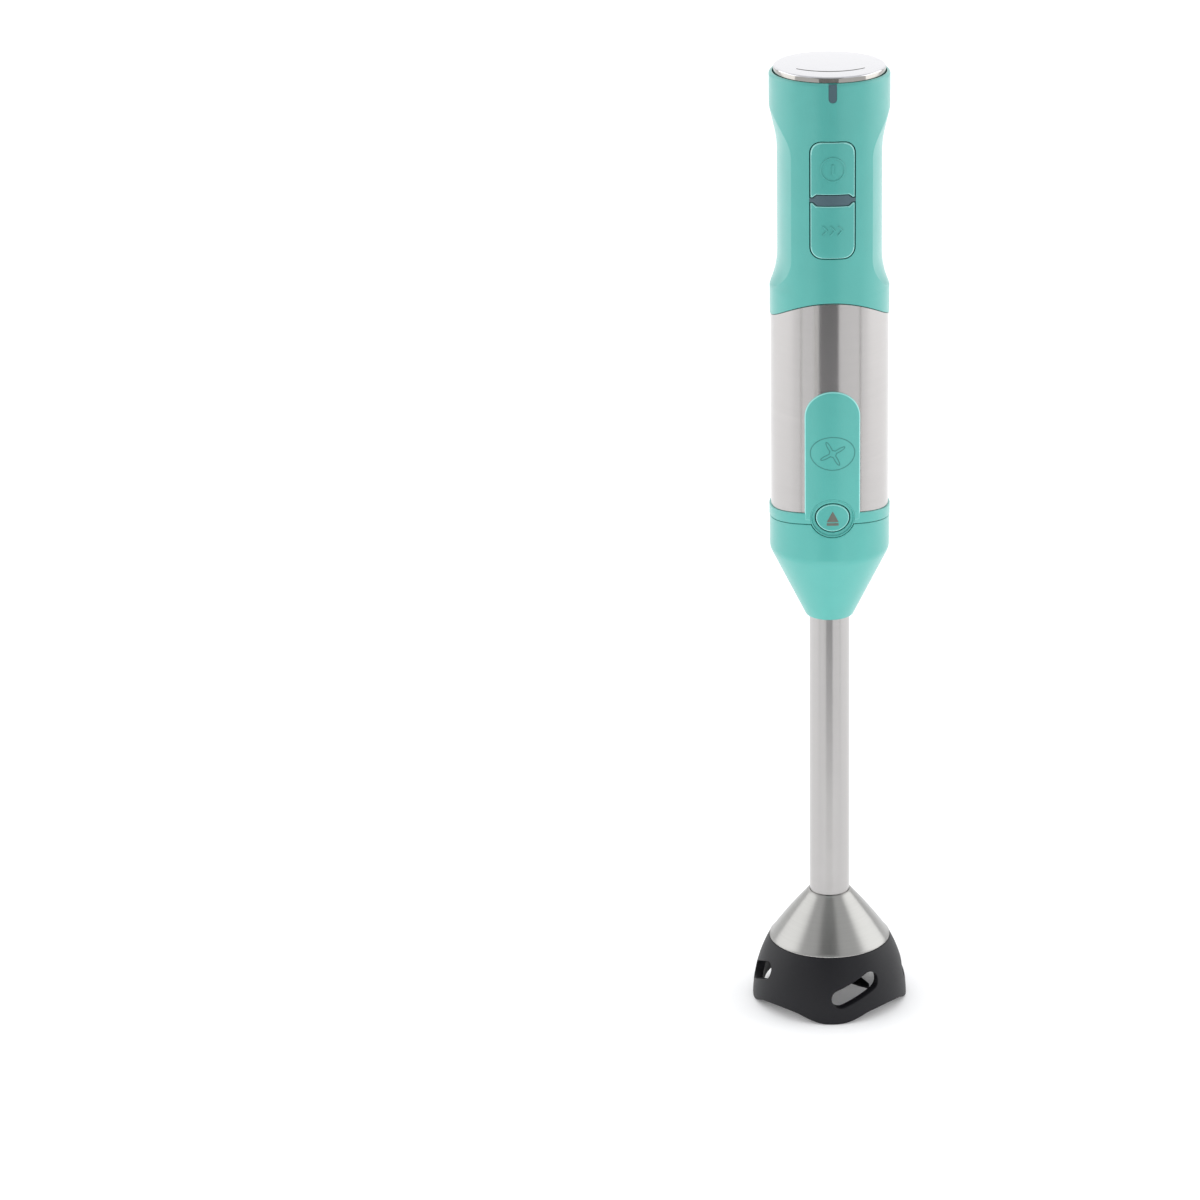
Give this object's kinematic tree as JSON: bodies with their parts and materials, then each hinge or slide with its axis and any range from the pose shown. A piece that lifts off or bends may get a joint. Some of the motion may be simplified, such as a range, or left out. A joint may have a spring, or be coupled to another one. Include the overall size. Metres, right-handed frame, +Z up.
{
  "type": "immersion blender",
  "caption": "Tall hand blender: waisted grip with speed dial and push buttons, brushed steel motor sleeve, and a pull-off steel leg ending in a slotted blade guard.",
  "frame": {"origin": "on the blender's axis, on the floor that its blade guard stands on", "axes": "+Z up along the axis, -Y towards the buttons, +X to the right seen from the buttons"},
  "size_m": [0.0646, 0.0646, 0.4011],
  "materials": {
    "teal_plastic": "satin moulded",
    "button_plastic": "satin moulded",
    "grey_insert": "satin moulded",
    "brushed_steel": "brushed",
    "polished_chrome": "polished",
    "guard_plastic": "fine matte grain",
    "black_plastic": "moulded",
    "white_plastic": "moulded",
    "plain_steel": "machined",
    "brass_metal": "machined",
    "copper_wire": "enamelled",
    "dark_ferrite": "sintered",
    "soft_rubber": "moulded",
    "board_resin": "coated",
    "yellow_film": "dipped"
  },
  "bodies": {
    "motor_unit": {"grip_housing": "teal_plastic", "dial_index": "grey_insert", "button_divider": "grey_insert", "button_carrier": "black_plastic", "control_board": "board_resin", "board_screws": "plain_steel", "filter_capacitor": "yellow_film", "power_triac": "black_plastic", "terminal_block": "white_plastic", "power_switch": "black_plastic", "turbo_switch": "black_plastic", "potentiometer": "plain_steel", "dial_seal": "soft_rubber", "cord_gland": "soft_rubber", "steel_sleeve": "brushed_steel", "lower_ring": "teal_plastic", "socket_cup": "black_plastic", "socket_screws": "plain_steel", "cradle_left": "white_plastic", "cradle_right": "white_plastic", "lower_mount": "soft_rubber", "motor_can": "plain_steel", "motor_magnets": "dark_ferrite", "motor_end_cap": "black_plastic", "end_cap_screws": "plain_steel", "brush_holders": "brass_metal", "carbon_brushes": "dark_ferrite", "upper_bearing": "plain_steel", "lower_bearing": "plain_steel", "motor_leads": "soft_rubber", "power_spring": "plain_steel", "turbo_spring": "plain_steel", "release_spring": "plain_steel"},
    "speed_dial": {"dial_cap": "polished_chrome", "dial_hub": "black_plastic", "dial_shaft": "plain_steel"},
    "power_key": {"power_button": "button_plastic"},
    "turbo_key": {"turbo_button": "button_plastic"},
    "release_latch": {"release_button": "button_plastic", "latch_slider": "white_plastic"},
    "motor_rotor": {"motor_shaft": "plain_steel", "armature_core": "dark_ferrite", "armature_windings": "copper_wire", "commutator": "copper_wire", "cooling_fan": "white_plastic", "drive_coupling": "black_plastic"},
    "blending_leg": {"leg_collar": "teal_plastic", "coupling_spigot": "black_plastic", "shaft_tube": "brushed_steel", "steel_bell": "brushed_steel", "bell_liner": "guard_plastic", "blade_guard": "guard_plastic", "upper_bush": "brass_metal", "middle_bush": "white_plastic", "lower_bush": "brass_metal", "shaft_seal": "soft_rubber"},
    "blade_drive": {"drive_shaft": "plain_steel", "leg_coupling": "black_plastic", "blade_hub": "guard_plastic", "cutting_blade": "plain_steel"}
  },
  "joints": [
    {"name": "dial_turn", "type": "hinge", "parent": "motor_unit", "child": "speed_dial", "pos_m": [0, 0, 0.398], "axis": [0, 0, 1], "range_deg": [-130, 130]},
    {"name": "power_press", "type": "slide", "parent": "motor_unit", "child": "power_key", "axis": [0, 1, 0], "range_m": [0, 0.0015], "stiffness_N_per_m": 800, "springref_m": -0.0015, "deforming": ["power_spring"]},
    {"name": "turbo_press", "type": "slide", "parent": "motor_unit", "child": "turbo_key", "axis": [0, 1, 0], "range_m": [0, 0.0015], "stiffness_N_per_m": 800, "springref_m": -0.0015, "deforming": ["turbo_spring"]},
    {"name": "release_press", "type": "slide", "parent": "motor_unit", "child": "release_latch", "axis": [0, 1, 0], "range_m": [0, 0.0025], "stiffness_N_per_m": 700, "springref_m": -0.002, "deforming": ["release_spring"]},
    {"name": "motor_spin", "type": "hinge", "parent": "motor_unit", "child": "motor_rotor", "pos_m": [0, 0, 0.265], "axis": [0, 0, 1], "continuous": true},
    {"name": "leg_pull", "type": "slide", "parent": "motor_unit", "child": "blending_leg", "axis": [0, 0, -1], "range_m": [0, 0.06]},
    {"name": "blade_spin", "type": "hinge", "parent": "blending_leg", "child": "blade_drive", "pos_m": [0, 0, 0.1], "axis": [0, 0, 1], "continuous": true}
  ],
  "couplings": [
    {"joint": "blade_spin", "follows": "motor_spin", "ratio": 1}
  ]
}
